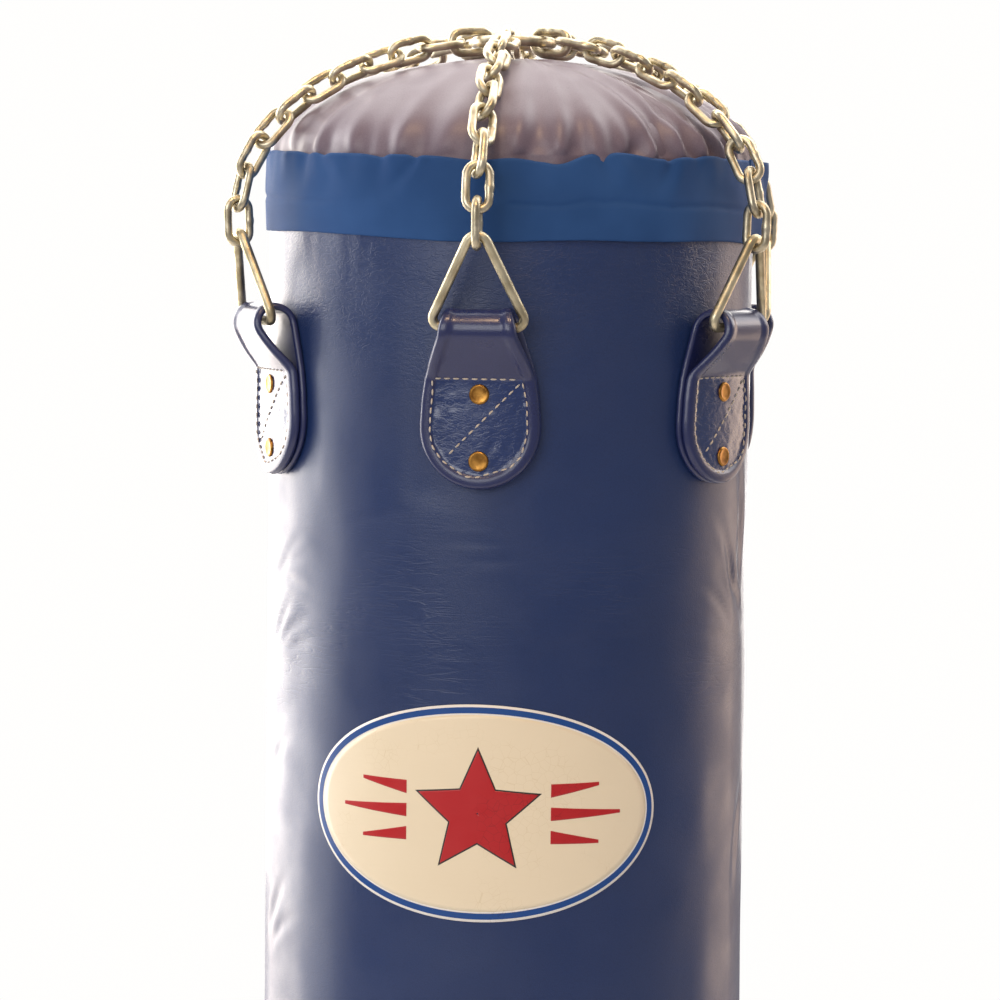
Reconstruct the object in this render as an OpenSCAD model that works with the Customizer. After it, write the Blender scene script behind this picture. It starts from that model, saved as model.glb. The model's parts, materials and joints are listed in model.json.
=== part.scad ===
// Hanging heavy bag: a leather cylinder with a domed top, six strap tabs with steel rings,
// and six short chains that meet at a gather ring on the dome.
// Millimetres, +Z up. The origin is the centre of the base, and the badge faces -Y.

/* [Bag] */
// Outside diameter of the leather cylinder
bag_d = 350; // [340:1:360]
// Height of the rim, where the dome starts
rim_z = 1124; // [1122:1:1126]
// Rise of the domed top above the rim
dome_rise = 73; // [70:1:74]
// Thickness of the leather with its canvas backing
leather_t = 3.5; // [3:0.1:4]
// Angle of the first strap tab about the bag
first_strap_angle = -96; // [-100:1:-90]

/* [Collar] */
// Height of the fabric collar band
collar_h = 54; // [48:1:56]
// Thickness of the gathered collar
collar_t = 3; // [2:0.5:4]

/* [Strap tabs] */
// Height of the lower end of the tabs
strap_foot_z = 900; // [898:1:902]
// Width of a tab at its widest
strap_w = 82; // [78:1:86]
// Width of a tab at the fold over its ring
fold_w = 54; // [50:1:55]
// Thickness of one leaf of a tab
leaf_t = 5; // [4.5:0.1:5.2]
// Diameter of a rivet's head
rivet_head_d = 13.7; // [11:0.1:15]

/* [Steel rings] */
// Diameter of the triangular rings' steel
ring_wire_d = 6.6; // [6:0.1:6.8]
// Diameter of the gather ring's steel
gather_wire_d = 8; // [7:0.1:8.2]

/* [Chain] */
// Diameter of the chain's wire
wire_d = 6; // [5.6:0.1:6]
// Inside width of a link
link_gap_w = 9.6; // [9.4:0.1:10]
// Distance from one junction of two links to the next
pitch = 24; // [24:0.01:24.02]

/* [Badge] */
// Width of the oval badge, measured around the bag
badge_w = 256; // [240:1:260]
// Height of the oval badge
badge_h = 150; // [140:1:155]
// Height of the badge's centre
badge_z = 678; // [640:1:700]

/* [Hidden] */
$fn = 64;
CHAINS = 6;

bag_r = bag_d / 2;
shell_in_r = bag_r - leather_t;
cover_t = 2;            // leather of the domed top
skin_gap = 0.1;         // room between layers that lie on each other
dome_r = shell_in_r - skin_gap;
skirt_h = 45;           // how far the top cover reaches down inside the shell
dome_steps = 24;        // points along the dome's quarter ellipse

band_t = 2.1;           // webbing band behind the tabs
band_out_r = shell_in_r - skin_gap;
band_in_r = band_out_r - band_t;
washer_t = 1.3;
washer_out_r = band_in_r - 0.4;
tail_t = 1.1;           // peened end of a rivet
lining_out_r = washer_out_r - washer_t - tail_t - 0.2;
lining_t = 1.4;
filling_r = lining_out_r - lining_t - 0.2;

welt_r = 4;             // radius of the piping round the base
welt_ring_r = bag_r - 2;
welt_top = 7.6;         // the piping is flat where the shell stands on it
base_t = 4;

collar_in_r = bag_r + skin_gap;
collar_out_r = collar_in_r + collar_t;
cord_r = 2.2;
cord_ring_r = dome_r + cord_r + 0.3;
collar_top_z = rim_z - 4;
collar_foot_z = collar_top_z - collar_h;

strap_in_r = bag_r + 0.3;
strap_mid_r = strap_in_r + leaf_t;
strap_out_r = strap_in_r + 2 * leaf_t;
fold_r = 14.6;          // outside radius of the fold round the ring
fold_in_r = fold_r - leaf_t;
fold_c = [strap_in_r + fold_r + 0.1, 1007];
fold_drop = -12;        // angle where the front leaf leaves the fold
leaf_split_z = strap_foot_z + 75;       // the two leaves are sewn together below this
strap_half_angle = 17;
rivet_z = [strap_foot_z + 19, strap_foot_z + 64];
shank_r = 2;
shank_room = 0.1;

// each ring hangs on its bar, and its apex leans out from the bag
bar_at = [193.5, 1009];
chain_foot = [208, 1066];
ring_wire_r = ring_wire_d / 2;
ring_base_r = 6;        // bend at the two lower corners
ring_apex_r = 7.5;      // bend at the apex, wide enough for a link
ring_half_base = 24.5;
ring_side_r = ring_wire_r - 0.02;   // the straight sides end just inside the bent corners
ring_side_lap = 0.4;
ring_apex = [chain_foot[0], chain_foot[1] + ring_wire_r + 0.6];
ring_lean = atan2(ring_apex[0] - bar_at[0], ring_apex[1] - bar_at[1]);
ring_h = norm(ring_apex - bar_at);

// direction of each link above the horizontal, measured from straight out, and its twist
link_tilt = [88, 103, 119, 132, 141, 149, 156, 161, 165, 170, 176];
link_twist = [0, 10, 25, 40, 45, 45, 45, 40, 25, 10, 0];
LINKS = len(link_tilt);
lower_links = [0, 3];
middle_links = [4, 7];
upper_links = [8, LINKS - 1];
wire_r = wire_d / 2;
link_bend_r = link_gap_w / 2 + wire_r;
link_play = 0.5;        // half of the free play where two links meet
link_half_l = pitch / 2 + wire_r + link_play;

gather_wire_r = gather_wire_d / 2;
gather_on_link = 17.7;  // where the gather ring crosses the last link

// the junction below link i, as [radius, height]
function junction(i) = i == 0
    ? chain_foot
    : junction(i - 1) + pitch * [cos(link_tilt[i - 1]), sin(link_tilt[i - 1])];
function along_link(i, d) = junction(i) + d * [cos(link_tilt[i]), sin(link_tilt[i])];
function arc_points(c, r, a0, a1, steps) =
    [for (i = [0:steps]) let (a = a0 + (a1 - a0) * i / steps) c + r * [cos(a), sin(a)]];
function ellipse_points(rx, rz, z, steps) =
    [for (i = [0:steps]) let (a = 90 * i / steps) [rx * cos(a), z + rz * sin(a)]];
function strap_angle(n) = first_strap_angle + 60 * (n - 1);
gather_at = along_link(LINKS - 1, gather_on_link);

module revolve() { rotate_extrude($fn = 96) children(); }

module tube(r_out, r_in, z0, z1) {
    translate([0, 0, z0])
        difference() {
            cylinder(h = z1 - z0, r = r_out, $fn = 96);
            translate([0, 0, -1]) cylinder(h = z1 - z0 + 2, r = r_in, $fn = 96);
        }
}

// a round bar between two points in the XY plane
module bar(p, q, r) {
    d = q - p;
    translate([p[0], p[1], 0])
        rotate([0, 0, atan2(d[1], d[0])])
            rotate([0, 90, 0]) cylinder(h = norm(d), r = r);
}

// the same bar, made longer by lap at both ends
module lapped_bar(p, q, r, lap) {
    step = (q - p) / norm(q - p) * lap;
    bar(p - step, q + step, r);
}

// a round bar bent in the XY plane about c, from angle a0 to a1
module bend(c, bend_r, a0, a1, r) {
    translate([c[0], c[1], 0])
        rotate([0, 0, a0])
            rotate_extrude(angle = a1 - a0) translate([bend_r, 0]) circle(r = r);
}

// puts what is drawn with +X outward at strap n
module at_strap(n) { rotate([0, 0, strap_angle(n)]) children(); }

// puts a round, drawn along +Z, along the radius at height z
module radial(z) { translate([0, 0, z]) rotate([0, 90, 0]) children(); }

module rivet_holes() {
    for (z = rivet_z)
        radial(z) translate([0, 0, filling_r]) cylinder(h = 60, r = shank_r + shank_room);
}

// ---- bag body ----

module filling() {
    color("lightgray")
        revolve() polygon(concat(
            [[0, base_t + 0.1], [filling_r, base_t + 0.1]],
            ellipse_points(filling_r, dome_rise, rim_z - 6, dome_steps)));
}

module lining() {
    color("beige") tube(lining_out_r, lining_out_r - lining_t, base_t + 0.1, rim_z - 8);
}

module outer_shell() {
    color([0.16, 0.22, 0.40])
        difference() {
            tube(bag_r, shell_in_r, welt_top, collar_top_z);
            for (n = [1:CHAINS]) at_strap(n) rivet_holes();
        }
}

module base_disc() {
    color([0.14, 0.19, 0.36]) cylinder(h = base_t, r = welt_ring_r - welt_r - 0.1, $fn = 96);
}

module base_welt() {
    color([0.12, 0.16, 0.32])
        difference() {
            revolve() translate([welt_ring_r, welt_r]) circle(r = welt_r);
            translate([0, 0, welt_top]) cylinder(h = 2, r = bag_d, $fn = 96);
        }
}

module reinforcing_band() {
    color("dimgray")
        difference() {
            tube(band_out_r, band_in_r, strap_foot_z - 10, strap_foot_z + 90);
            for (n = [1:CHAINS]) at_strap(n) rivet_holes();
        }
}

module top_cover() {
    inner_r = dome_r - cover_t + skin_gap;
    outer = ellipse_points(dome_r, dome_rise, rim_z, dome_steps);
    inner = ellipse_points(inner_r, dome_rise - cover_t, rim_z, dome_steps);
    color([0.42, 0.39, 0.48])
        revolve() polygon(concat(
            [[inner_r, rim_z - skirt_h], [dome_r, rim_z - skirt_h]],
            outer,
            [for (i = [dome_steps:-1:0]) inner[i]]));
}

module collar() {
    color([0.20, 0.32, 0.55]) tube(collar_out_r, collar_in_r, collar_foot_z, collar_top_z);
}

module drawcord() {
    color("ivory")
        revolve() translate([cord_ring_r, collar_top_z + cord_r + 0.1])
            circle(r = cord_r, $fn = 32);
}

module badge() {
    badge_t = 0.8;
    badge_angle = -95.7;
    steps = 48;
    half_w = bag_r * sin(badge_w / 2 / bag_r * 180 / PI);
    oval = [for (i = [0:steps - 1]) let (a = 360 * i / steps)
        [half_w * cos(a), badge_h / 2 * sin(a)]];
    color([0.91, 0.83, 0.71])
        rotate([0, 0, badge_angle])
            intersection() {
                tube(strap_in_r + badge_t, strap_in_r, badge_z - badge_h, badge_z + badge_h);
                translate([bag_r / 2, 0, badge_z])
                    rotate([90, 0, 90]) linear_extrude(bag_r) polygon(oval);
            }
}

// ---- strap tabs and their rivets ----

// the tab seen from the side, as [radius, height]: two leaves that open into a fold
module strap_profile() {
    top_arc = arc_points(fold_c, fold_r, fold_drop, 180, 16);
    hollow_arc = arc_points(fold_c, fold_in_r, fold_drop, 180, 16);
    difference() {
        polygon(concat(
            [[strap_in_r, strap_foot_z], [strap_out_r, strap_foot_z]],
            [[strap_out_r, leaf_split_z]],
            top_arc));
        polygon(concat(
            [[strap_mid_r + 0.1, leaf_split_z + 20], [strap_mid_r + 3, leaf_split_z + 17]],
            hollow_arc));
    }
}

// the tab seen from the front, as [across, height]
module strap_outline() {
    half = strap_w / 2;
    edge = [
        [fold_w / 2 - 6, fold_c[1] + 20],
        [fold_w / 2, fold_c[1]],
        [half * 0.85, strap_foot_z + 86],
        [half * 0.93, strap_foot_z + 74],
        [half, strap_foot_z + 45]];
    polygon(concat(
        edge,
        arc_points([0, strap_foot_z + half], half, 0, -180, 20),
        [for (i = [len(edge) - 1:-1:0]) [-edge[i][0], edge[i][1]]]));
}

module strap(n) {
    color([0.15, 0.19, 0.40])
        at_strap(n)
            difference() {
                intersection() {
                    rotate([0, 0, -strap_half_angle])
                        rotate_extrude(angle = 2 * strap_half_angle, $fn = 96) strap_profile();
                    translate([bag_r / 2, 0, 0])
                        rotate([90, 0, 90]) linear_extrude(bag_r) strap_outline();
                }
                rivet_holes();
            }
}

module rivet() {
    head_h = 2.6;
    head_r = rivet_head_d / 2;
    dome = (head_r * head_r + head_h * head_h) / (2 * head_h);
    head_at = strap_out_r + 0.1;
    tail_at = washer_out_r - washer_t - tail_t;
    union() {
        intersection() {
            translate([0, 0, head_at + head_h - dome]) sphere(r = dome);
            translate([0, 0, head_at]) cylinder(h = head_h * 2, r = head_r + 1);
        }
        translate([0, 0, tail_at + 0.1]) cylinder(h = head_at - tail_at + 0.5, r = shank_r);
        translate([0, 0, tail_at]) cylinder(h = tail_t, r = 3.5);
    }
}

module rivets() {
    color([0.62, 0.40, 0.18])
        for (n = [1:CHAINS], z = rivet_z) at_strap(n) radial(z) rivet();
}

module rivet_washers() {
    color("goldenrod")
        for (n = [1:CHAINS], z = rivet_z)
            at_strap(n) radial(z)
                translate([0, 0, washer_out_r - washer_t])
                    difference() {
                        cylinder(h = washer_t, r = 7);
                        translate([0, 0, -1]) cylinder(h = washer_t + 2, r = shank_r + shank_room);
                    }
}

// ---- steel rings and chain ----

// a triangular ring in the XY plane, with its bar along X and its apex up Y
module triangle_ring() {
    right = [ring_half_base, ring_base_r];
    top = [0, ring_h - ring_apex_r];
    side = top - right;
    slope = atan2(side[1], side[0]) - acos((ring_base_r - ring_apex_r) / norm(side));
    out = [cos(slope), sin(slope)];
    lapped_bar([-ring_half_base, 0], [ring_half_base, 0], ring_side_r, ring_side_lap);
    bend(top, ring_apex_r, slope, 180 - slope, ring_wire_r);
    for (turned = [0, 1])
        mirror([turned, 0, 0]) {
            lapped_bar(right + ring_base_r * out, top + ring_apex_r * out,
                ring_side_r, ring_side_lap);
            bend(right, ring_base_r, -90, slope, ring_wire_r);
        }
}

module ring(n) {
    color([0.80, 0.76, 0.66])
        at_strap(n)
            translate([bar_at[0], 0, bar_at[1]])
                rotate([0, ring_lean, 0]) rotate([90, 0, 90]) triangle_ring();
}

// one link about its own centre, along X and flat in the XY plane
module link() {
    straight = link_half_l - link_bend_r;
    for (side = [-1, 1])
        bar([-straight, side * link_bend_r], [straight, side * link_bend_r], wire_r);
    bend([straight, 0], link_bend_r, -90, 90, wire_r);
    bend([-straight, 0], link_bend_r, 90, 270, wire_r);
}

// even links stand edge-on to the bag and odd links lie flat, apart from their twist
module links(n, span) {
    color([0.78, 0.74, 0.66])
        at_strap(n)
            for (i = [span[0]:span[1]]) {
                c = along_link(i, pitch / 2);
                quarter = i % 2 == 0 ? 90 : 0;
                translate([c[0], 0, c[1]])
                    rotate([0, -link_tilt[i], 0])
                        rotate([quarter + link_twist[i], 0, 0]) link();
            }
}

module gather_ring() {
    color([0.82, 0.78, 0.68])
        revolve() translate(gather_at) circle(r = gather_wire_r);
}

filling();
lining();
outer_shell();
base_disc();
base_welt();
reinforcing_band();
top_cover();
collar();
drawcord();
badge();
rivets();
rivet_washers();
for (n = [1:CHAINS]) {
    strap(n);
    ring(n);
    links(n, lower_links);
    links(n, middle_links);
    links(n, upper_links);
}
gather_ring();
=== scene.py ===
import json
import math

import bmesh
import bpy
import numpy as np
from mathutils import Euler, Matrix, Vector


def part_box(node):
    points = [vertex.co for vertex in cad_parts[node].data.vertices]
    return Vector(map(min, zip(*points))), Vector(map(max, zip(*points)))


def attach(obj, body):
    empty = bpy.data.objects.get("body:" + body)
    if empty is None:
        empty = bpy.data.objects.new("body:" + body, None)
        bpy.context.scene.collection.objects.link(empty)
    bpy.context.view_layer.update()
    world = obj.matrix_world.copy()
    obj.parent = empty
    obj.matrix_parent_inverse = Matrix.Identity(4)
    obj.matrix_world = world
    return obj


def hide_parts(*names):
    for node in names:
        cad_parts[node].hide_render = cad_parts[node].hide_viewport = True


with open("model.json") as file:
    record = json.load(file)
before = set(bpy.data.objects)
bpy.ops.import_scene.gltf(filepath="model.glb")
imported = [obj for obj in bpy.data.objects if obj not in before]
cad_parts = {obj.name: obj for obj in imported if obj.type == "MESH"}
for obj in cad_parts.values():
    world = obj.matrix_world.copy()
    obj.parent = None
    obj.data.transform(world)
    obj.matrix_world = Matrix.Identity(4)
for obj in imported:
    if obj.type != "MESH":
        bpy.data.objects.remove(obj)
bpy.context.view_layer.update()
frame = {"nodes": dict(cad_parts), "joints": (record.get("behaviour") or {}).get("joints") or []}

# Everything is in metres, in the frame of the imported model: +Z up, the badge faces -Y.
# u is the angle round the bag from the front, positive towards +X.
TAU = 2 * math.pi
MM = 0.001
CHAINS = 6
SEED = 11

# ---- places that come from the frame ----

joints = {j["name"]: j for j in frame["joints"]}
BAG_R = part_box("outer_shell")[1].x
BAG_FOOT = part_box("outer_shell")[0].z
COLLAR_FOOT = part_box("collar")[0].z
COLLAR_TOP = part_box("collar")[1].z
DOME_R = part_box("top_cover")[1].x
DOME_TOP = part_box("top_cover")[1].z
DOME_RISE = 0.073
DOME_RIM = DOME_TOP - DOME_RISE
SKIRT_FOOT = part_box("top_cover")[0].z
STRAP_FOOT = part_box("strap_1")[0].z
STRAP_SKIN_R = BAG_R + 0.3 * MM
BADGE_LOW, BADGE_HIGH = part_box("badge")
BADGE_Z = (BADGE_LOW.z + BADGE_HIGH.z) / 2
BADGE_HALF_H = (BADGE_HIGH.z - BADGE_LOW.z) / 2
BADGE_HALF_W = 128 * MM
BADGE_U = math.radians(-5.7)
CREASE_Z = 0.805


def joint_place(name):
    """A joint's anchor as (angle about +Z, radius, height)."""
    x, y, z = joints[name]["pos_m"]
    return math.atan2(y, x), math.hypot(x, y), z


STRAP_ANGLES = [joint_place(f"ring_{n}_pivot")[0] for n in range(1, CHAINS + 1)]
STRAP_US = [a + math.pi / 2 for a in STRAP_ANGLES]
_, BAR_R, BAR_Z = joint_place("ring_1_pivot")
_, FOOT_R, FOOT_Z = joint_place("chain_1_foot")

# ---- small mathematics ----


def step(x, low, high):
    """0 at low, 1 at high, and a smooth step between them."""
    t = np.clip((x - low) / (high - low), 0, 1)
    return t * t * (3 - 2 * t)


def hump(x, centre, width):
    """A bell curve of height 1."""
    return np.exp(-(((x - centre) / width) ** 2))


def turn(u, centre):
    """The angle from centre to u, between -pi and pi."""
    return (u - centre + math.pi) % TAU - math.pi


def waves(rng, count, around, along):
    """A smooth random field on the bag: waves with whole numbers round it, of about +-1."""
    parts = [
        (rng.integers(*around), rng.uniform(-1, 1) * along, rng.uniform(0, TAU), rng.normal())
        for _ in range(count)
    ]
    scale = 1 / math.sqrt(count)

    def field(u, z):
        return scale * sum(a * np.cos(k * u + m * z + p) for k, m, p, a in parts)

    return field


def circle(count):
    """Angles that go evenly round a circle."""
    return np.arange(count) * TAU / count


def distances(line):
    """How far along a line each of its points lies."""
    legs = np.linalg.norm(np.diff(line, axis=0), axis=1)
    return np.concatenate([[0], np.cumsum(legs)])


def on_bag(u, r, z):
    """The point at angle u from the front, radius r and height z."""
    return np.stack([r * np.sin(u), -r * np.cos(u), z + 0 * u * r], axis=-1)


def at_tab(angle, out, across, z):
    """The point of a tab or ring at an angle about +Z, moved sideways by across."""
    x = out * math.cos(angle) - across * math.sin(angle)
    y = out * math.sin(angle) + across * math.cos(angle)
    return np.stack(np.broadcast_arrays(x, y, z), -1)


# ---- mesh helpers ----


def add(name, data):
    """A new object in the scene."""
    made = bpy.data.objects.new(name, data)
    bpy.context.scene.collection.objects.link(made)
    return made


def new_object(name, vertices, faces, uvs=None):
    """A smooth mesh object with its faces turned outwards."""
    mesh = bpy.data.meshes.new(name)
    mesh.from_pydata(np.asarray(vertices).tolist(), [], faces)
    if uvs is not None:
        layer = mesh.uv_layers.new(name="fabric")
        layer.data.foreach_set("uv", np.asarray(uvs, np.float32).ravel())
    work = bmesh.new()
    work.from_mesh(mesh)
    bmesh.ops.recalc_face_normals(work, faces=work.faces)
    work.to_mesh(mesh)
    work.free()
    mesh.polygons.foreach_set("use_smooth", [True] * len(mesh.polygons))
    return add(name, mesh)


def grid_faces(rows, columns, wrap_rows):
    """Quads between the points of a grid whose columns close on themselves."""
    index = np.arange(rows * columns).reshape(rows, columns)
    last = rows if wrap_rows else rows - 1
    here = index[:last]
    above = np.roll(index, -1, axis=0)[:last]
    corners = [here, np.roll(here, -1, axis=1), np.roll(above, -1, axis=1), above]
    return np.stack(corners, -1).reshape(-1, 4)


def grid_uvs(points):
    """UVs in metres for grid_faces, along the columns and the rows."""
    rows, columns, _ = points.shape
    around = np.linalg.norm(points - np.roll(points, -1, axis=1), axis=2).sum(axis=1).max()
    rise = np.linalg.norm(np.diff(points, axis=0), axis=2).mean(axis=1)
    v = np.concatenate([[0], np.cumsum(rise)])
    v = np.append(v, v[-1])
    u = np.linspace(0, around, columns + 1)
    r, c = np.meshgrid(np.arange(rows), np.arange(columns), indexing="ij")
    corners = [(u[c], v[r]), (u[c + 1], v[r]), (u[c + 1], v[r + 1]), (u[c], v[r + 1])]
    return np.stack([np.stack(p, -1) for p in corners], axis=2).reshape(-1, 2)


def ring_shell(name, points, uv=False):
    """A closed skin: the rows of points go once round the section, and the columns round the bag."""
    rows, columns, _ = points.shape
    faces = grid_faces(rows, columns, True)
    uvs = grid_uvs(points) if uv else None
    return new_object(name, points.reshape(-1, 3), faces.tolist(), uvs)


def capped(points):
    """Vertices and faces of rows of points, closed by a fan at each end."""
    rows, columns, _ = points.shape
    faces = grid_faces(rows, columns, False).tolist()
    ends = [points[0].mean(axis=0), points[-1].mean(axis=0)]
    vertices = np.vstack([points.reshape(-1, 3), ends])
    low, high = rows * columns, rows * columns + 1
    top = (rows - 1) * columns
    for c in range(columns):
        d = (c + 1) % columns
        faces.append((low, d, c))
        faces.append((high, top + c, top + d))
    return vertices, faces


def capped_skin(name, points):
    """A closed skin from rows of points, with a fan at each end."""
    return new_object(name, *capped(points))


def joined(name, parts):
    """One object of several (vertices, faces)."""
    vertices, faces, count = [], [], 0
    for points, polygons in parts:
        vertices.append(points)
        faces.extend(tuple(i + count for i in polygon) for polygon in polygons)
        count += len(points)
    return new_object(name, np.vstack(vertices), faces)


def sweep(points, radii, sides, normal, closed):
    """Vertices and faces of a round wire along points. normal is across the whole path."""
    points = np.asarray(points, float)
    radii = np.broadcast_to(radii, len(points))
    if closed:
        along = np.roll(points, -1, axis=0) - np.roll(points, 1, axis=0)
    else:
        along = np.gradient(points, axis=0)
    along /= np.linalg.norm(along, axis=1)[:, None]
    side = np.cross(np.asarray(normal, float), along)
    side /= np.linalg.norm(side, axis=1)[:, None]
    up = np.cross(along, side)
    a = circle(sides)
    rings = (
        points[:, None]
        + radii[:, None, None] * np.cos(a)[None, :, None] * side[:, None]
        + radii[:, None, None] * np.sin(a)[None, :, None] * up[:, None]
    )
    if not closed:
        return capped(rings)
    return rings.reshape(-1, 3), grid_faces(len(points), sides, True).tolist()


def ride(piece, look, body="bag", replaces=()):
    """Give a piece its material, its body and the CAD nodes that it replaces."""
    piece.data.materials.append(look)
    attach(piece, body)
    if replaces:
        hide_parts(*replaces)


# ---- materials ----


class Look:
    """A Principled material, with short names for the nodes that feed it."""

    def __init__(self, name, **sockets):
        self.material = bpy.data.materials.new(name)
        self.material.use_nodes = True
        self.tree = self.material.node_tree
        self.shader = self.tree.nodes["Principled BSDF"]
        self.done(**sockets)
        self.place = self.node("TexCoord").outputs["Object"]

    def feed(self, node, sockets):
        for name, value in sockets.items():
            if isinstance(value, bpy.types.NodeSocket):
                self.tree.links.new(value, node.inputs[name])
            else:
                node.inputs[name].default_value = value

    def node(self, kind, sockets=None, **settings):
        made = self.tree.nodes.new("ShaderNode" + kind)
        for name, value in settings.items():
            setattr(made, name, value)
        self.feed(made, sockets or {})
        return made

    def height(self):
        return self.node("SeparateXYZ", {0: self.place}).outputs["Z"]

    def stretch(self, x, y, z):
        return self.node("Mapping", {"Vector": self.place, "Scale": (x, y, z)}).outputs[0]

    def noise(self, scale, detail, place=None, distortion=0.0):
        sockets = {"Vector": place or self.place, "Scale": scale, "Detail": detail,
                   "Distortion": distortion}
        return self.node("TexNoise", sockets).outputs["Fac"]

    def cells(self, scale):
        sockets = {"Vector": self.place, "Scale": scale}
        return self.node("TexVoronoi", sockets, feature="DISTANCE_TO_EDGE").outputs["Distance"]

    def fit(self, value, low, high, to_low=0.0, to_high=1.0):
        sockets = {"Value": value, "From Min": low, "From Max": high, "To Min": to_low,
                   "To Max": to_high}
        return self.node("MapRange", sockets, interpolation_type="SMOOTHSTEP").outputs[0]

    def math(self, operation, a, b=0.0, c=0.0):
        return self.node("Math", {0: a, 1: b, 2: c}, operation=operation).outputs[0]

    def away(self, value, middle):
        return self.math("ABSOLUTE", self.math("SUBTRACT", value, middle))

    def mix(self, factor, a, b):
        return self.node("Mix", {0: factor, 6: a, 7: b}, data_type="RGBA").outputs[2]

    def bump(self, height, distance, strength, under=None):
        sockets = {"Height": height, "Distance": distance, "Strength": strength}
        if under:
            sockets["Normal"] = under
        return self.node("Bump", sockets).outputs[0]

    def done(self, **sockets):
        self.feed(self.shader, {k.replace("_", " "): v for k, v in sockets.items()})
        return self.material


def rgb(text):
    """A linear colour from an sRGB hex string."""
    parts = [int(text[i:i + 2], 16) / 255 for i in (0, 2, 4)]
    return (*[c / 12.92 if c < 0.04045 else ((c + 0.055) / 1.055) ** 2.4 for c in parts], 1.0)


def leather(name, colour, shade, roughness, coat, grain, crease=0.0, crackle=0.0, gloss=0.15,
            crackled=(0.93, 1.06)):
    """Coated leather. crease is for long level creases, and crackle for fine ones, which fade in
    between the two heights of crackled."""
    look = Look(name, Coat_Weight=coat, Coat_Roughness=gloss, Specular_IOR_Level=0.55)
    pebble = look.fit(look.cells(620), 0.0, 0.16)
    pores = look.noise(1900, 3)
    tone = look.math("MULTIPLY_ADD", look.noise(7, 3), 0.9, -0.1)
    # painted shade: the valleys between the grain's pebbles are mixed towards the darker shade colour
    valley_shade = look.math("MULTIPLY", look.math("SUBTRACT", 1.0, pebble), 0.35)
    colour_mix = look.mix(look.math("ADD", tone, valley_shade), rgb(colour), rgb(shade))
    rough = look.fit(look.noise(26, 4), 0.3, 0.7, roughness - 0.05, roughness + 0.09)
    grains = look.math("ADD", look.math("MULTIPLY", pebble, 0.6), look.math("MULTIPLY", pores, 0.5))
    normal = look.bump(grains, 0.12 * MM, grain)
    if crease:
        level = look.noise(1.0, 3, look.stretch(26, 26, 190), 0.5)
        line = look.fit(look.away(level, 0.5), 0.0, 0.07)
        patch = look.fit(look.noise(8, 2), 0.44, 0.62)
        band = look.fit(look.away(look.height(), CREASE_Z), 0.03, 0.09, 1, 0.12)
        amount = look.math("MULTIPLY", patch, band)
        dip = look.math("MULTIPLY", look.math("SUBTRACT", line, 1.0), amount)
        normal = look.bump(dip, 0.4 * MM, crease, normal)
    if crackle:
        fine = look.noise(1.0, 4, look.stretch(120, 120, 260), 0.8)
        line = look.fit(look.away(fine, 0.5), 0.0, 0.1)
        dip = look.math("MULTIPLY", line, look.fit(look.height(), *crackled, 0.14, 1.0))
        normal = look.bump(dip, 0.35 * MM, crackle, normal)
    return look.done(Base_Color=colour_mix, Roughness=rough, Normal=normal)


def metal(name, colour, shade, roughness, spots=90):
    """Bare metal, duller in spots."""
    look = Look(name, Metallic=1.0)
    patch = look.fit(look.noise(spots, 4), 0.35, 0.7)
    rough = look.fit(look.noise(240, 3), 0.3, 0.7, roughness - 0.08, roughness + 0.12)
    normal = look.bump(look.noise(650, 3), 0.06 * MM, 0.6)
    return look.done(Base_Color=look.mix(patch, rgb(colour), rgb(shade)), Roughness=rough,
                     Normal=normal)


def woven(name, colour, shade, threads_per_m, roughness, sheen, relief):
    """Cloth woven along its UVs, which are in metres."""
    look = Look(name, Sheen_Weight=sheen, Sheen_Roughness=0.4, Specular_IOR_Level=0.08)
    uv = look.node("TexCoord").outputs["UV"]
    axes = look.node("SeparateXYZ", {0: uv})
    turns = TAU * threads_per_m
    warp = look.math("SINE", look.math("MULTIPLY", axes.outputs[0], turns))
    weft = look.math("SINE", look.math("MULTIPLY", axes.outputs[1], turns))
    weave = look.math("MULTIPLY", warp, weft)
    slub = look.noise(1.0, 3, look.stretch(30, 30, 500))
    tone = look.math("ADD", look.math("MULTIPLY", weave, 0.12), look.fit(look.noise(14, 3), 0.2, 0.8))
    height = look.math("ADD", look.math("MULTIPLY", weave, 0.5), slub)
    return look.done(Base_Color=look.mix(tone, rgb(colour), rgb(shade)), Roughness=roughness,
                     Normal=look.bump(height, relief * MM, 0.5))


def plain_cloth(name, colour, shade):
    look = Look(name, Roughness=0.9, Sheen_Weight=0.3)
    weave = look.noise(900, 3)
    return look.done(Base_Color=look.mix(look.noise(40, 3), rgb(colour), rgb(shade)),
                     Normal=look.bump(weave, 0.3 * MM, 0.7))


def vinyl(name, colour, shade):
    """Printed vinyl with fine cracks in the print."""
    look = Look(name, Coat_Weight=0.25, Coat_Roughness=0.25)
    crack = look.fit(look.cells(170), 0.0, 0.025)
    worn = look.fit(look.noise(20, 3), 0.52, 0.66)
    tone = look.math("MULTIPLY", look.math("SUBTRACT", 1.0, crack), worn)
    tone = look.math("ADD", tone, look.math("MULTIPLY", look.noise(9, 3), 0.35))
    rough = look.fit(look.noise(60, 3), 0.3, 0.7, 0.36, 0.5)
    level = look.noise(1.0, 3, look.stretch(40, 40, 260), 0.5)
    return look.done(Base_Color=look.mix(tone, rgb(colour), rgb(shade)), Roughness=rough,
                     Normal=look.bump(level, 0.25 * MM, 0.5))


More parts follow.
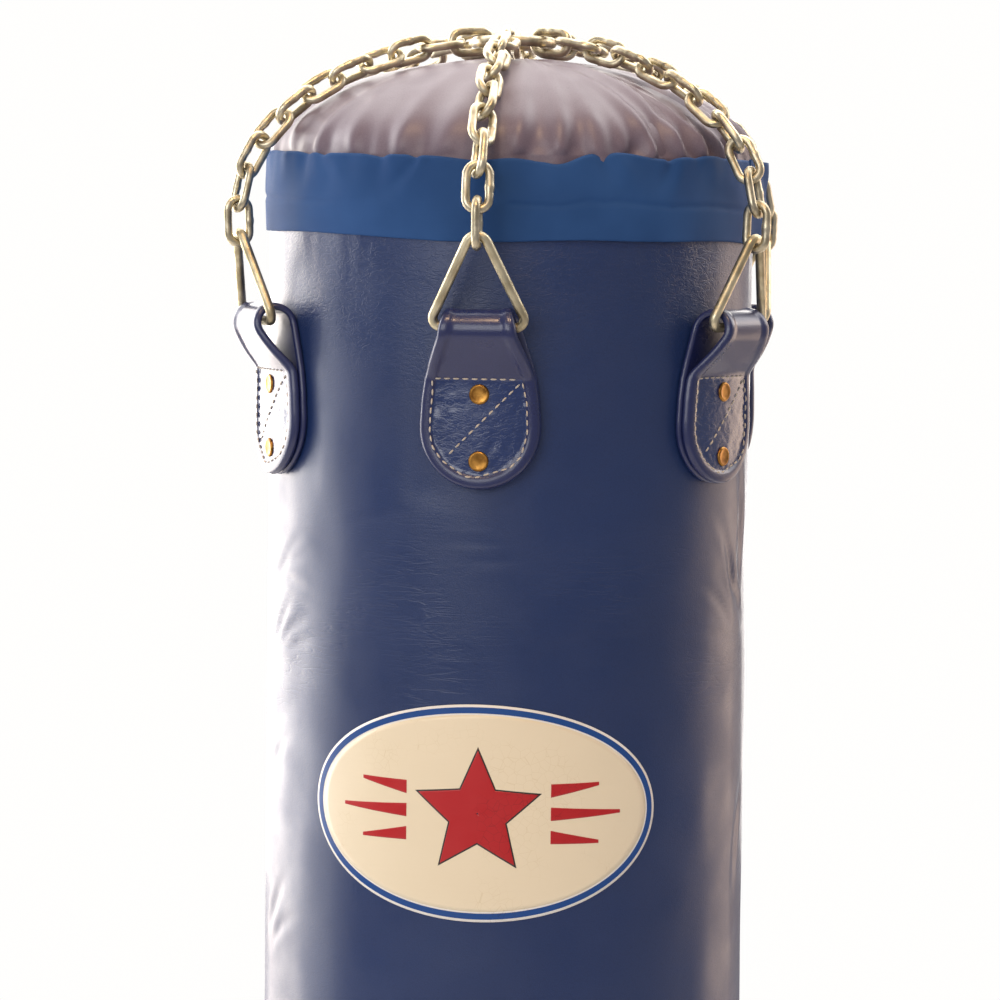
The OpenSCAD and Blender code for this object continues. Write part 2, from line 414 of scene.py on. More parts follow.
SHELL = leather("shell_leather", "1f3769", "182a54", 0.38, 0.2, 0.35, 0.4, 0.4, 0.2)
DOME = leather("dome_leather", "7a6b78", "655866", 0.52, 0.28, 0.15, gloss=0.38)
STRAP = leather("strap_leather", "222c60", "171f48", 0.32, 0.4, 0.4)
PATCH = leather("strap_face_leather", "1f376e", "172854", 0.20, 0.6, 0.15, crackle=0.25, gloss=0.09,
                crackled=(0.80, 0.90))
WELT = leather("welt_leather", "1e2d5c", "151f42", 0.38, 0.2, 0.5)
SATIN = woven("collar_satin", "34598f", "294a7c", 1500, 0.68, 0.06, 0.12)
STEEL = metal("zinc_steel", "dbd1b6", "aca187", 0.38)
RING_STEEL = metal("ring_steel", "ded3b3", "b1a484", 0.42, 60)
BRASS = metal("rivet_brass", "b88642", "7f5526", 0.36, 140)
THREAD = plain_cloth("stitch_thread", "e3d8c8", "b8a893")
COTTON = plain_cloth("drawcord_cotton", "e8e2d2", "c9bfa8")
CANVAS = plain_cloth("lining_canvas", "cbbf9f", "ab9d7c")
WEBBING = plain_cloth("band_webbing", "4a4c52", "34363b")
RAGS = plain_cloth("textile_filling", "a8a6a4", "6d7078")
BADGE_WHITE = vinyl("badge_white", "fbf6ee", "e6dfd2")
BADGE_BLUE = vinyl("badge_blue", "0d4a94", "0b3a78")
BADGE_CREAM = vinyl("badge_cream", "faeacb", "eedbb6")
BADGE_RED = vinyl("badge_red", "c4151a", "9c0f14")
BADGE_DARK = vinyl("badge_dark", "2a2220", "1d1816")

# ---- the leather cylinder ----

relief_rng = np.random.default_rng(SEED)
broad_dents = waves(relief_rng, 14, (2, 7), 14)
small_dents = waves(relief_rng, 26, (9, 26), 60)
gathers = waves(relief_rng, 30, (30, 90), 6)
limb_folds = waves(relief_rng, 12, (14, 30), 5)

# (u in degrees, height, length, angle in degrees from level, width, depth), all in metres
CREASES = [
    (66, 0.842, 0.026, -62, 0.0045, 0.0016), (70, 0.822, 0.022, -48, 0.0040, 0.0013),
    (61, 0.812, 0.020, -36, 0.0035, 0.0010), (74, 0.868, 0.034, -84, 0.0060, 0.0024),
    (-62, 0.846, 0.018, 34, 0.0035, 0.0010), (-64, 0.836, 0.024, 22, 0.0035, 0.0012),
    (-60, 0.826, 0.020, -10, 0.0035, 0.0009), (-66, 0.796, 0.022, 48, 0.0040, 0.0014),
    (-62, 0.789, 0.026, 30, 0.0035, 0.0013), (-59, 0.781, 0.020, 12, 0.0035, 0.0010),
    (-68, 0.700, 0.022, 40, 0.0040, 0.0010), (-70, 0.585, 0.026, 55, 0.0045, 0.0013),
    (-66, 0.572, 0.022, 35, 0.0040, 0.0010), (72, 0.640, 0.030, 75, 0.0050, 0.0012),
]


def crease_field(u, z, creases):
    """How far creases move the leather: a groove with a lip on each side, slightly bowed."""
    total = np.zeros(np.broadcast(u, z).shape)
    for centre, height, length, angle, width, depth in creases:
        x = turn(u, math.radians(centre)) * BAG_R
        y = z - height
        ca, sa = math.cos(math.radians(angle)), math.sin(math.radians(angle))
        along = x * ca + y * sa
        across = y * ca - x * sa + 3.0 * along * along
        lip = 0.45 * hump(np.abs(across), 1.9 * width, width)
        total += depth * (lip - hump(across, 0, width)) * hump(along, 0, length)
    return total


def random_creases(rng, count):
    """Short, nearly level creases in the middle of the bag, all the way round."""
    return [
        (rng.uniform(-180, 180), rng.normal(CREASE_Z, 0.035), rng.uniform(0.012, 0.034),
         rng.normal(0, 7), rng.uniform(0.0024, 0.0036), rng.uniform(0.0002, 0.0006))
        for _ in range(count)
    ]


MID_CREASES = random_creases(np.random.default_rng(SEED + 1), 70)


def backing_zone(u, z):
    """1 where a strap or the badge lies on the leather, which never swells through them."""
    low, high = 0.60, 0.76
    margin = 0.04
    zone = hump(turn(u, BADGE_U), 0, 0.85) ** 4
    zone = zone * step(z, low - margin, low) * step(-z, -high - margin, -high)
    strap_top = 1.03
    for centre in STRAP_US:
        beside = step(-np.abs(turn(u, centre)) * BAG_R, -60 * MM, -44 * MM)
        level = step(z, STRAP_FOOT - 20 * MM, STRAP_FOOT) * step(-z, -strap_top - 20 * MM, -strap_top)
        zone = np.maximum(zone, beside * level)
    return zone


def shell_radius(u, z):
    """The radius of the leather's outer face."""
    sag = 2.2 * MM * hump(z, 0.38, 0.24)
    waist = -2.2 * MM * hump(z, 0.835, 0.06) * np.clip(np.sin(u), 0, 1) ** 3
    lean = 0.3 * MM * np.sin(u) * (1 - z / COLLAR_TOP)
    hem = -2.0 * MM * hump(z, BAG_FOOT, 0.012)
    dents = 0.45 * MM * broad_dents(u, z) + 0.14 * MM * small_dents(u, z)
    pulled = 0.2 * MM * gathers(u, z) * np.exp(-(COLLAR_FOOT - z).clip(0) / 0.022)
    side = np.abs(np.sin(u)) ** 4
    folds = 0.5 * MM * limb_folds(u, z) * side * hump(z, 0.70, 0.22)
    creases = crease_field(u, z, CREASES) + crease_field(u, z, MID_CREASES)
    moved = sag + waist + lean + hem + dents + pulled + folds + creases
    calm = step(-z, -COLLAR_TOP, -COLLAR_FOOT)
    moved = moved * calm - 0.4 * MM * (1 - calm)
    zone = backing_zone(u, z)
    return BAG_R + moved - zone * (np.maximum(moved, 0) + 0.1 * MM)


def make_shell():
    wall, top = 3.5 * MM, COLLAR_TOP - 10 * MM
    u = circle(300)[None]
    z = np.linspace(BAG_FOOT, top, 288)[:, None]
    inner_z = np.linspace(top, BAG_FOOT, 8)[:, None]
    outer = on_bag(u, shell_radius(u, z), z)
    inner = on_bag(u, BAG_R - wall + 0 * inner_z, inner_z)
    shell = ring_shell("shell_leather_cylinder", np.concatenate([outer, inner]))
    ride(shell, SHELL, replaces=["outer_shell"])


def make_back_seam():
    """The lapped seam that closes the cylinder, with two rows of stitches."""
    seam_u, half, lift = math.radians(204), 14 * MM, 1.6 * MM
    row_at, pitch, stitch_half = 0.62, 7 * MM, 2.4 * MM
    z = np.linspace(BAG_FOOT + 2 * MM, COLLAR_FOOT + 4 * MM, 180)[:, None]
    t = np.linspace(-1, 1, 24)[None]
    u = seam_u + t * half / BAG_R
    face = lift * (1 - np.abs(t) ** 12) * (1 - 0.25 * hump(np.abs(t), row_at, 0.1))
    skin = shell_radius(u, z)
    outer = on_bag(u, skin + face, z)
    inner = on_bag(u, skin - 0.8 * MM, z)
    seam = capped_skin("back_seam_lap", np.concatenate([outer, inner[:, ::-1]], axis=1))
    ride(seam, SHELL)
    parts = []
    rise = lift - 0.1 * MM + 0.5 * MM * np.array([0, 0.8, 1, 0.8, 0])
    for side in (-row_at, row_at):
        su = np.full(5, seam_u + side * half / BAG_R)
        outward = on_bag(su[0], 1.0, 0.0)
        for height in np.arange(BAG_FOOT + 12 * MM, COLLAR_FOOT - 4 * MM, pitch):
            zs = height + np.linspace(-stitch_half, stitch_half, 5)
            parts.append(stitch(on_bag(su, shell_radius(su, zs) + rise, zs), outward))
    ride(joined("back_seam_stitches", parts), THREAD)


def stitch(line, normal):
    """One short stitch of thread along five points."""
    return sweep(line, np.array([0.25, 0.55, 0.6, 0.55, 0.25]) * MM, 8, normal, False)


# ---- the domed top ----

# (u in degrees, reach, height in mm, half width) of the sharp gathers seen at the front
DOME_RIDGES = [
    (2, 0.55, 3.0, 0.032), (11, 0.72, 4.6, 0.030), (19, 0.62, 4.0, 0.032), (27, 0.40, 2.4, 0.026),
    (34, 0.56, 4.0, 0.028), (43, 0.72, 5.0, 0.030), (51, 0.60, 4.4, 0.028), (59, 0.48, 3.4, 0.024),
    (67, 0.52, 3.6, 0.026), (76, 0.42, 2.8, 0.024), (86, 0.45, 2.8, 0.026), (97, 0.40, 2.2, 0.026),
    (-15, 0.42, 1.9, 0.036), (-26, 0.46, 2.2, 0.034), (-39, 0.36, 1.8, 0.030), (-52, 0.42, 2.2, 0.030),
    (-64, 0.34, 1.8, 0.026), (-77, 0.38, 2.0, 0.028), (-90, 0.34, 1.6, 0.026),
]


def small_gathers(rng, u, s):
    """Narrow grooves that start at the rim, deepest at the front right."""
    total, count = 0, 38
    for i in range(count):
        centre = (i + rng.uniform(-0.4, 0.4)) * TAU / count
        strong = 0.4 + 1.0 * math.exp(-(turn(centre, math.radians(45)) / 0.75) ** 2)
        depth = rng.uniform(0.6, 2.4) * MM * strong
        length = rng.uniform(0.12, 0.30) * (0.7 + 0.9 * strong)
        width = rng.uniform(0.020, 0.045)
        across = turn(u, centre + rng.normal(0, 0.14) * s)
        wide = width * (1 + 1.6 * s)
        fade = np.exp(-((s / length) ** 2))
        groove = hump(across, 0, wide) - 0.4 * hump(np.abs(across), 2 * wide, wide)
        total = total - depth * fade * groove
    return total


def wide_gathers(rng, u, s):
    """Broad hollows between the grooves."""
    total, count = 0, 17
    for i in range(count):
        centre = (i + rng.uniform(-0.35, 0.35)) * TAU / count
        strong = 0.55 + 0.9 * math.exp(-(turn(centre, math.radians(42)) / 0.8) ** 2)
        depth = rng.uniform(1.2, 2.6) * MM * strong
        reach = rng.uniform(0.28, 0.5) * (0.7 + 0.4 * strong)
        across = turn(u, centre + rng.normal(0.1, 0.35) * s)
        total = total - depth * hump(s, 0.06, reach) * hump(across, 0, 0.055 + 0.16 * s)
    return total


def ridges(u, s):
    """The sharp gathers of DOME_RIDGES, each leaning a little as it climbs."""
    total = 0
    for centre, reach, height, half in DOME_RIDGES:
        bow = (0.05 * math.sin(0.7 * centre) - 0.0022 * max(centre, 0)) * s / reach
        across = turn(u, math.radians(centre) + bow)
        wide = half * (1 + 1.2 * s)
        crest = hump(across, 0, wide) - 0.45 * hump(np.abs(across), 2.3 * wide, 1.3 * wide)
        total = total + height * MM * np.exp(-((s / reach) ** 2)) * step(s, -0.05, 0.06) * crest
    return total


def dome_relief(u, s):
    """How far the dome's leather stands out, from its rim at s = 0 to its top at s = 1."""
    rng = np.random.default_rng(SEED + 2)
    total = small_gathers(rng, u, s) + wide_gathers(rng, u, s)
    soft = waves(rng, 12, (2, 7), 5)
    total = total + 1.1 * MM * soft(u, s) * step(-s, -1.0, -0.5) + ridges(u, s)
    total = total + 2.2 * MM * hump(s, 0.15, 0.15)
    near_chain = np.clip(sum(hump(turn(u, c) * (1.05 - s), 0, 0.11) for c in STRAP_US), 0, 1)
    near_chain = near_chain * step(s, 0.19, 0.30)
    room, bend = (5.6 - 5.5 * near_chain) * MM, 0.4 * MM
    return room - bend * np.log1p(np.exp((room - total) / bend))


def make_dome():
    wall, inner_gap, last = 4 * MM, 3.2 * MM, 0.995
    u = circle(360)[None]
    even = np.linspace(0, 1, 120)[:, None]
    s = last * (0.35 * (1 - np.cos(even * math.pi / 2)) + 0.65 * even)
    angle = s * math.pi / 2
    relief = dome_relief(u, s)
    r = (DOME_R + relief) * np.cos(angle)
    outer = on_bag(u, r, DOME_RIM + (DOME_RISE + relief) * np.sin(angle))
    skirt_z = np.linspace(SKIRT_FOOT, DOME_RIM - 1 * MM, 14)[:, None]
    skirt_relief = dome_relief(u, np.zeros((1, 1))) * step(skirt_z, SKIRT_FOOT, DOME_RIM)
    skirt = on_bag(u, DOME_R - 0.1 * MM + skirt_relief, skirt_z)
    inner_a = np.linspace(last, 0, 24)[:, None] * math.pi / 2
    inner_z = DOME_RIM + (DOME_RISE - inner_gap) * np.sin(inner_a)
    inner = on_bag(u, (DOME_R - wall) * np.cos(inner_a), inner_z)
    low = on_bag(u, np.full((1, 1), DOME_R - wall / 2), np.full((1, 1), SKIRT_FOOT))
    dome = capped_skin("dome_top_cover", np.concatenate([inner, low, skirt, outer]))
    ride(dome, DOME, replaces=["top_cover"])


# ---- the fabric collar ----

COLLAR_SKIN = 1.2 * MM
HEM_R = 2.6 * MM
collar_rng = np.random.default_rng(SEED + 3)
collar_wave = waves(collar_rng, 12, (2, 10), 0)
collar_small = waves(collar_rng, 20, (20, 70), 0)
slanted = waves(collar_rng, 14, (8, 30), 9)

# (u, width, depth, lean) of the tucks that the drawcord pulls in
TUCKS = [
    (collar_rng.uniform(-math.pi, math.pi), collar_rng.uniform(0.016, 0.05),
     collar_rng.uniform(0.2, 1.0), collar_rng.normal(0, 1.6))
    for _ in range(30)
]


def drawn(u, knots):
    """A smooth line round the bag through knots of (degrees, millimetres)."""
    at, value = np.array(knots).T
    degrees = np.degrees(u)
    spread = [np.interp(degrees + d, at, value, period=360) for d in (-2, -1, 0, 1, 2)]
    return sum(spread) / len(spread) * MM


# (u in degrees, mm) by which the collar's edge and foot leave their even lines
EDGE_LINE = [
    (-150, 1.5), (-90, 1.2), (-56, 1.5), (-43, -1.2), (-33, -3.7), (-24, -3.7), (-15, -2.0), (-8, -2.6),
    (0, 0.7), (6, -1.5), (11, -5.0), (14, 0.0), (18, 4.6), (26, 6.2), (35, 3.4), (46, 5.6), (52, 4.6),
    (65, 1.7), (85, 2.4), (130, 1.0),
]
FOOT_LINE = [
    (-150, 1.0), (-90, 3.7), (-56, 1.2), (-33, -0.5), (-15, -2.4), (0, -2.0), (17, 1.0), (35, 3.5),
    (46, 4.0), (85, 1.2), (150, 0.0),
]


def collar_edge(u):
    """Height of the collar's gathered upper edge."""
    dips = sum(depth * hump(turn(u, centre), 0, width) for centre, width, depth, _ in TUCKS)
    front = (2.5 - 1.5 * np.cos(u)) * MM
    tilt = -3.4 * MM * np.sin(u)
    line = drawn(u, EDGE_LINE)
    return COLLAR_TOP + front + tilt + line + 1.3 * MM * collar_wave(u, 0) - 1.9 * MM * dips


def collar_radius(u, t):
    """The collar's outer face, from its lower hem at t = 0 to its gathered edge at t = 1."""
    base = BAG_R + 1.9 * MM
    swell = 0.8 * MM * np.sin(math.pi * t) + 0.35 * MM * collar_wave(u + 1, 0)
    tucks = 0
    for centre, width, depth, lean in TUCKS:
        across = turn(u, centre + lean * 0.1 * (1 - t))
        wide = width * (1 + 2.5 * (1 - t))
        fade = step(t, 0.35, 1.0)
        tucks = tucks - depth * fade * (hump(across, 0, wide) - 0.6 * hump(across, 1.8 * wide, wide))
    ruffle = (0.3 * collar_small(u, 0) * step(t, 0.5, 1.0) + 0.8 * slanted(u, t) * step(t, 0.3, 0.7)) * MM
    fold_at = 0.44 + 0.03 * np.sin(3 * u + 1)
    level_fold = hump(t, fold_at, 0.035) * step(np.sin(1.5 * u + 1.2), -0.2, 0.6)
    return base + swell + 1.3 * MM * tucks + ruffle - 0.95 * MM * level_fold


def make_collar():
    u = circle(540)[None]
    t = np.linspace(0, 1, 40)[:, None]
    edge = collar_edge(u)
    foot = COLLAR_FOOT + (1 - 2.8 * np.sin(u) + 0.6 * collar_wave(u + 2, 0)) * MM + drawn(u, FOOT_LINE)
    z = foot + (edge - foot) * t
    r = collar_radius(u, t)
    a = np.linspace(0, math.pi * 0.95, 9)[1:, None]
    back = a[::-1]
    centre_r = r[-1:] - HEM_R
    rise, inner_rise = HEM_R * 0.9, HEM_R * 0.9 - COLLAR_SKIN
    hem = on_bag(u, centre_r + HEM_R * np.cos(a), edge + rise * np.sin(a))
    hem_in = on_bag(u, centre_r + (HEM_R - COLLAR_SKIN) * np.cos(back), edge + inner_rise * np.sin(back))
    outer = on_bag(u, r, z)
    inner = on_bag(u, r[::-1] - COLLAR_SKIN, z[::-1])
    collar = ring_shell("collar_band", np.concatenate([outer, hem, hem_in, inner]), uv=True)
    ride(collar, SATIN, replaces=["collar"])
    cord = sweep(on_bag(u[0], centre_r[0], edge[0]), 1.25 * MM, 10, (0, 0, 1), True)
    cord = new_object("drawcord_in_hem", *cord)
    ride(cord, COTTON, replaces=["drawcord"])


def make_collar_flap():
    """The loose end of the collar, lapped over its start behind the right chain."""
    centre_u, half = math.radians(80), 26 * MM
    t = np.linspace(0, 1, 26)[:, None]
    c = np.linspace(-1, 1, 26)[None]
    u = centre_u + c * half / BAG_R
    free = step(c, -1.0, 1.0)
    wavy = 1.0 * MM * np.sin(5 * t + 4 * c) * free
    r = collar_radius(u, t) + 0.7 * MM + 7.5 * MM * free + wavy
    z = COLLAR_FOOT + (collar_edge(u) + 3 * MM - COLLAR_FOOT) * t - 1.5 * MM * free
    outer = on_bag(u, r, z)
    inner = on_bag(u, r - 1.0 * MM, z)
    flap = capped_skin("collar_flap", np.concatenate([outer, inner[:, ::-1]], axis=1))
    ride(flap, SATIN)


# ---- strap tabs ----

LEAF_HALF = 2.2 * MM
FRONT_R = STRAP_SKIN_R + 7.5 * MM
BACK_R = STRAP_SKIN_R + 2.4 * MM
HALF_W = 41 * MM
FOLD_MID_R = 12.1 * MM
FOLD_OUT, FOLD_Z = BAG_R + 15 * MM, STRAP_FOOT + 107 * MM
SPLIT_Z = STRAP_FOOT + 75 * MM
EDGE = 2.4 * MM
BEAD_AT, BEAD_HALF, BEAD_LIFT = 4.4 * MM, 4.0 * MM, 1.35 * MM
RIVET_RUNS = (19 * MM, 64 * MM)
FACE_SHIFT = 1.7
STITCH_RISE = np.array([-0.35, 0.2, 0.3, 0.2, -0.35]) * MM


def strap_path():
    """The leaf's middle line from its front foot, over the fold, to its back foot: out, z."""
    arc = np.radians(np.linspace(-14, 180, 40))
    fold = np.stack([FOLD_OUT + FOLD_MID_R * np.cos(arc), FOLD_Z + FOLD_MID_R * np.sin(arc)], 1)
    corners = np.vstack([[[FRONT_R, STRAP_FOOT], [FRONT_R, SPLIT_Z]], fold, [[BACK_R, STRAP_FOOT]]])
    run = distances(corners)
    even = np.linspace(0, run[-1], 500)
    line = np.stack([np.interp(even, run, corners[:, i]) for i in (0, 1)], 1)
    kernel = np.hanning(31)
    kernel /= kernel.sum()
    padded = np.vstack([2 * line[0] - line[15:0:-1], line, 2 * line[-1] - line[-2:-17:-1]])
    return np.stack([np.convolve(padded[:, i], kernel, "valid") for i in (0, 1)], 1)


PATH = strap_path()
PATH_RUN = distances(PATH)
PATH_LENGTH = PATH_RUN[-1]
FOLD_RUN = PATH_RUN[np.argmax(PATH[:, 1])]


def path_at(run):
    """Point and outward normal of the leaf's middle line at a distance along it."""
    out = np.interp(run, PATH_RUN, PATH[:, 0])
    z = np.interp(run, PATH_RUN, PATH[:, 1])
    slope = np.gradient(PATH, axis=0)
    slope /= np.linalg.norm(slope, axis=1)[:, None]
    along_out = np.interp(run, PATH_RUN, slope[:, 0])
    along_z = np.interp(run, PATH_RUN, slope[:, 1])
    return out, z, along_z, -along_out


def side_width(height):
    """Half width of a tab at a height above its foot, above the round end."""
    heights = np.array([44, 60, 74, 86, 108, 130]) * MM
    return np.interp(height, heights, np.array([41, 40, 38, 34.6, 27.2, 23]) * MM)


def half_width(run):
    """Half width of the leaf along its path: round at both ends, narrow over the fold."""
    foot = np.minimum(run, PATH_LENGTH - run)
    end = np.sqrt(np.clip(HALF_W ** 2 - (HALF_W - np.minimum(foot, HALF_W)) ** 2, 1e-12, None))
    return np.minimum(end, side_width(foot))


def edge_distance(across, run):
    """Distance from a place on the leaf to the nearest edge."""
    foot = np.minimum(run, PATH_LENGTH - run)
    round_end = HALF_W - np.hypot(across, HALF_W - np.minimum(foot, HALF_W))
    sides = half_width(run) - np.abs(across)
    return np.clip(np.where(foot < HALF_W, round_end, sides), 0, None)


def strap_point(angle, across, run, lift):
    """A point of a tab: lift is along the leaf's outward normal."""
    out, z, normal_out, normal_z = path_at(run)
    wrap = step(-out, -(BAG_R + 22 * MM), -(BAG_R + 8 * MM))
    sag = out - np.sqrt(out ** 2 - across ** 2)
    return at_tab(angle, out + lift * normal_out - wrap * sag, across, z + lift * normal_z)


strap_rng = np.random.default_rng(SEED + 7)
puckers = waves(strap_rng, 16, (20, 380), 420)
fine_puckers = waves(strap_rng, 24, (500, 1500), 1300)
slackness = waves(strap_rng, 8, (20, 120), 90)


def pressed_face(across, run):
    """1 on the stitched face of a tab, inside its rolled border and below the fold."""
    return step(edge_distance(across, run), 8 * MM, 10 * MM) * step(-run, -75.5 * MM, -73 * MM)


def rounded(edge_gap):
    """The leaf's rounded edge: 0 at the edge and 1 from EDGE inwards."""
    return np.sqrt(np.clip(1 - (1 - np.minimum(edge_gap, EDGE) / EDGE) ** 2, 0, 1))


def strap_face(across, run, shift):
    """Lift of the leaf's outer face: a rolled border, and a pressed centre that puckers."""
    d = edge_distance(across, run)
    bead = np.sqrt(np.clip(1 - ((d - BEAD_AT) / BEAD_HALF) ** 2, 0, 1)) * BEAD_LIFT
    front = step(-run, -(FOLD_RUN + 8 * MM), -(FOLD_RUN - 8 * MM))
    pressed = pressed_face(across, run)
    moved = across + 0.37 * shift
    low_half = step(across - (run - 45 * MM), -4 * MM, 6 * MM)
    folds = 0.5 - np.abs(puckers(moved, run)) + (0.1 + 0.35 * low_half) * fine_puckers(moved, run)
    crumple = 0.4 * MM * folds * pressed
    slack = 0.35 * MM * slackness(moved, run) * step(run, 72 * MM, 90 * MM) * front
    border = bead * (0.35 + 0.65 * front)
    return LEAF_HALF * rounded(d) + border - 0.45 * MM * pressed + crumple + slack


def make_strap(n):
    angle = STRAP_ANGLES[n - 1]
    ends = HALF_W * (1 - np.cos(np.linspace(0.02, 1, 34) * math.pi / 2))
    middle = np.linspace(HALF_W, PATH_LENGTH - HALF_W, 130)[1:-1]
    run = np.concatenate([ends, middle, (PATH_LENGTH - ends)[::-1]])[:, None]
    shares = 1 - np.concatenate([
        [0, 0.15, 0.5, 1.1, 1.8], np.linspace(2.8, 10, 10), np.linspace(12, 41, 11),
    ]) * MM / HALF_W
    shares = np.concatenate([shares, -shares[-2::-1]])[None]
    across = shares * half_width(run)
    outer = strap_point(angle, across, run, strap_face(across, run, FACE_SHIFT * n))
    inner = strap_point(angle, across, run, -LEAF_HALF * rounded(edge_distance(across, run)))
    loop = np.concatenate([outer, inner[:, -2:0:-1]], axis=1)
    strap = capped_skin(f"strap_leather_{n}", loop)
    ride(strap, STRAP, replaces=[f"strap_{n}"])
    strap.data.materials.append(PATCH)
    width = loop.shape[1]
    for row, column in np.argwhere(pressed_face(across, run)[:-1, :-1] > 0.5):
        strap.data.polygons[int(row * width + column)].material_index = 1
    ride(strap_stitches(n, angle), THREAD)


def stitch_lines():
    """The stitched outline of a tab and its diagonal, as lists of (across, run)."""
    outline = np.array([
        [-32, 75], [-31.7, 65], [-33.2, 49], [-33.4, 37], [-31.3, 28], [-25, 19.2], [-9.3, 8.6],
        [-1.3, 8.2], [21.2, 15], [28.4, 22.5], [32.4, 38], [32, 58], [28.8, 72], [28.5, 75],
    ]) * MM
    top = np.array([outline[0], outline[-1]])
    diagonal = np.array([[28.2, 72.5], [-23.8, 19.8]]) * MM
    return [outline, top, diagonal]


def strap_stitches(n, angle):
    parts = []
    pitch, half = 6.3 * MM, 2.2 * MM
    for line in stitch_lines():
        walked = distances(line)
        for centre in np.arange(pitch * 0.6, walked[-1] - half, pitch):
            at = centre + np.linspace(-half, half, 5)
            across = np.interp(at, walked, line[:, 0])
            run = np.interp(at, walked, line[:, 1])
            lift = strap_face(across, run, FACE_SHIFT * n).mean() + STITCH_RISE
            points = strap_point(angle, across, run, lift)
            parts.append(stitch(points, (math.cos(angle), math.sin(angle), 0)))
    return joined(f"strap_stitches_{n}", parts)


def make_rivets():
    """The flat brass heads on the tabs, each with a raised rim and a shank, out from its seat."""
    profile = np.array([
        [1.6, 1.0], [3.4, 1.05], [4.8, 1.2], [5.6, 1.45], [6.3, 1.3],
        [6.85, 0.35], [6.8, -0.2], [6.2, -0.5], [2.0, -0.6], [2.0, -6.0],
    ]) * MM
    a = circle(32)
    rings = np.stack([
        np.stack([r * np.cos(a), r * np.sin(a), np.full(32, h)], -1) for r, h in profile
    ])
    vertices, faces = capped(rings)
    parts = []
    face_r = FRONT_R + LEAF_HALF - 0.4 * MM
    for angle in STRAP_ANGLES:
        out = np.array([math.cos(angle), math.sin(angle), 0])
        side = np.array([-math.sin(angle), math.cos(angle), 0])
        for run in RIVET_RUNS:
            centre = out * face_r + np.array([0, 0, STRAP_FOOT + run])
            place = np.array([side, [0, 0, 1], out])
            parts.append((centre + vertices @ place, faces))
    ride(joined("rivet_heads", parts), BRASS, replaces=["rivets"])


# ---- steel rings and chain ----

RING_WIRE = 3.3 * MM
RING_BASE_BEND, RING_APEX_BEND = 6 * MM, 7.5 * MM
RING_HALF_BASE = 24.5 * MM
RING_H = math.hypot(FOOT_R - BAR_R, FOOT_Z - BAR_Z)
RING_LEAN = math.atan2(FOOT_R - BAR_R, FOOT_Z - BAR_Z)


def weld(distance, half_length, lift):
    """How much thicker a wire is at its weld."""
    return lift * np.exp(-((distance / half_length) ** 4))


def triangle_line():
    """A ring's middle line: across and up, with its bar at the bottom."""
    left = np.array([-RING_HALF_BASE, RING_BASE_BEND])
    right = np.array([RING_HALF_BASE, RING_BASE_BEND])
    top = np.array([0, RING_H - RING_APEX_BEND])
    side = top - right
    slope = math.atan2(side[1], side[0])
    slope -= math.acos((RING_BASE_BEND - RING_APEX_BEND) / math.hypot(*side))
    corners = [
        (left, RING_BASE_BEND, math.pi - slope, 1.5 * math.pi),
        (right, RING_BASE_BEND, -math.pi / 2, slope),
        (top, RING_APEX_BEND, slope, math.pi - slope),
    ]
    points = []
    for centre, radius, start, end in corners:
        bend = np.linspace(start, end, 13)
        points.extend(centre + radius * np.array([math.cos(a), math.sin(a)]) for a in bend)
    closed = np.array(points + [points[0]])
    walked = distances(closed)
    even = np.linspace(0, walked[-1], 151)[:-1]
    return np.stack([np.interp(even, walked, closed[:, i]) for i in (0, 1)], 1)


def make_ring(n):
    angle = STRAP_ANGLES[n - 1]
    line = triangle_line()
    rise, tip = math.cos(RING_LEAN), math.sin(RING_LEAN)
    points = at_tab(angle, BAR_R + line[:, 1] * tip, line[:, 0], BAR_Z + line[:, 1] * rise)
    normal = (math.cos(angle) * rise, math.sin(angle) * rise, -tip)
    at_weld = np.hypot(line[:, 0] - 4 * MM, line[:, 1])
    radii = RING_WIRE + weld(at_weld, 2.2 * MM, 0.45 * MM)
    ring = new_object(f"triangle_ring_{n}", *sweep(points, radii, 20, normal, True))
    ride(ring, RING_STEEL, f"ring_{n}", [f"ring_{n}"])


def solids(node):
    """The separate solids of a CAD node, each as an array of triangles."""
    work = bmesh.new()
    work.from_mesh(frame["nodes"][node].data)
    bmesh.ops.remove_doubles(work, verts=work.verts, dist=1e-5)
    bmesh.ops.triangulate(work, faces=work.faces)
    left, found = set(work.faces), []
    while left:
        stack, group = [left.pop()], []
        while stack:
            face = stack.pop()
            group.append([list(v.co) for v in face.verts])
            near = {f for v in face.verts for f in v.link_faces} & left
            left -= near
            stack.extend(near)
        found.append(np.array(group))
    work.free()
    return found


def link_frame(triangles):
    """A link's centre, its long direction, its width direction and its normal."""
    cross = np.cross(triangles[:, 1] - triangles[:, 0], triangles[:, 2] - triangles[:, 0])
    area = np.linalg.norm(cross, axis=1)
    middle = triangles.mean(axis=1)
    centre = (middle * area[:, None]).sum(axis=0) / area.sum()
    spread = np.zeros((3, 3))
    for points, share in ((middle, 0.75), *((triangles[:, i], 1 / 12) for i in range(3))):
        off = points - centre
        spread += share * (off * area[:, None]).T @ off
    _, axes = np.linalg.eigh(spread)
    long, wide = axes[:, 2], axes[:, 1]
    return centre, long, wide, np.cross(long, wide)


LINK_WIRE = 3.0 * MM
LINK_BEND = 7.8 * MM
LINK_STRAIGHT = 7.7 * MM


def link_line():
    """A link's middle line in its own plane: along, across."""
    bend = np.linspace(-math.pi / 2, math.pi / 2, 13)
    straight = np.linspace(-LINK_STRAIGHT, LINK_STRAIGHT, 11)[1:-1]
    right = np.stack([LINK_STRAIGHT + LINK_BEND * np.cos(bend), LINK_BEND * np.sin(bend)], 1)
    upper = np.stack([-straight, np.full(len(straight), LINK_BEND)], 1)
    return np.vstack([right, upper, -right, -upper])


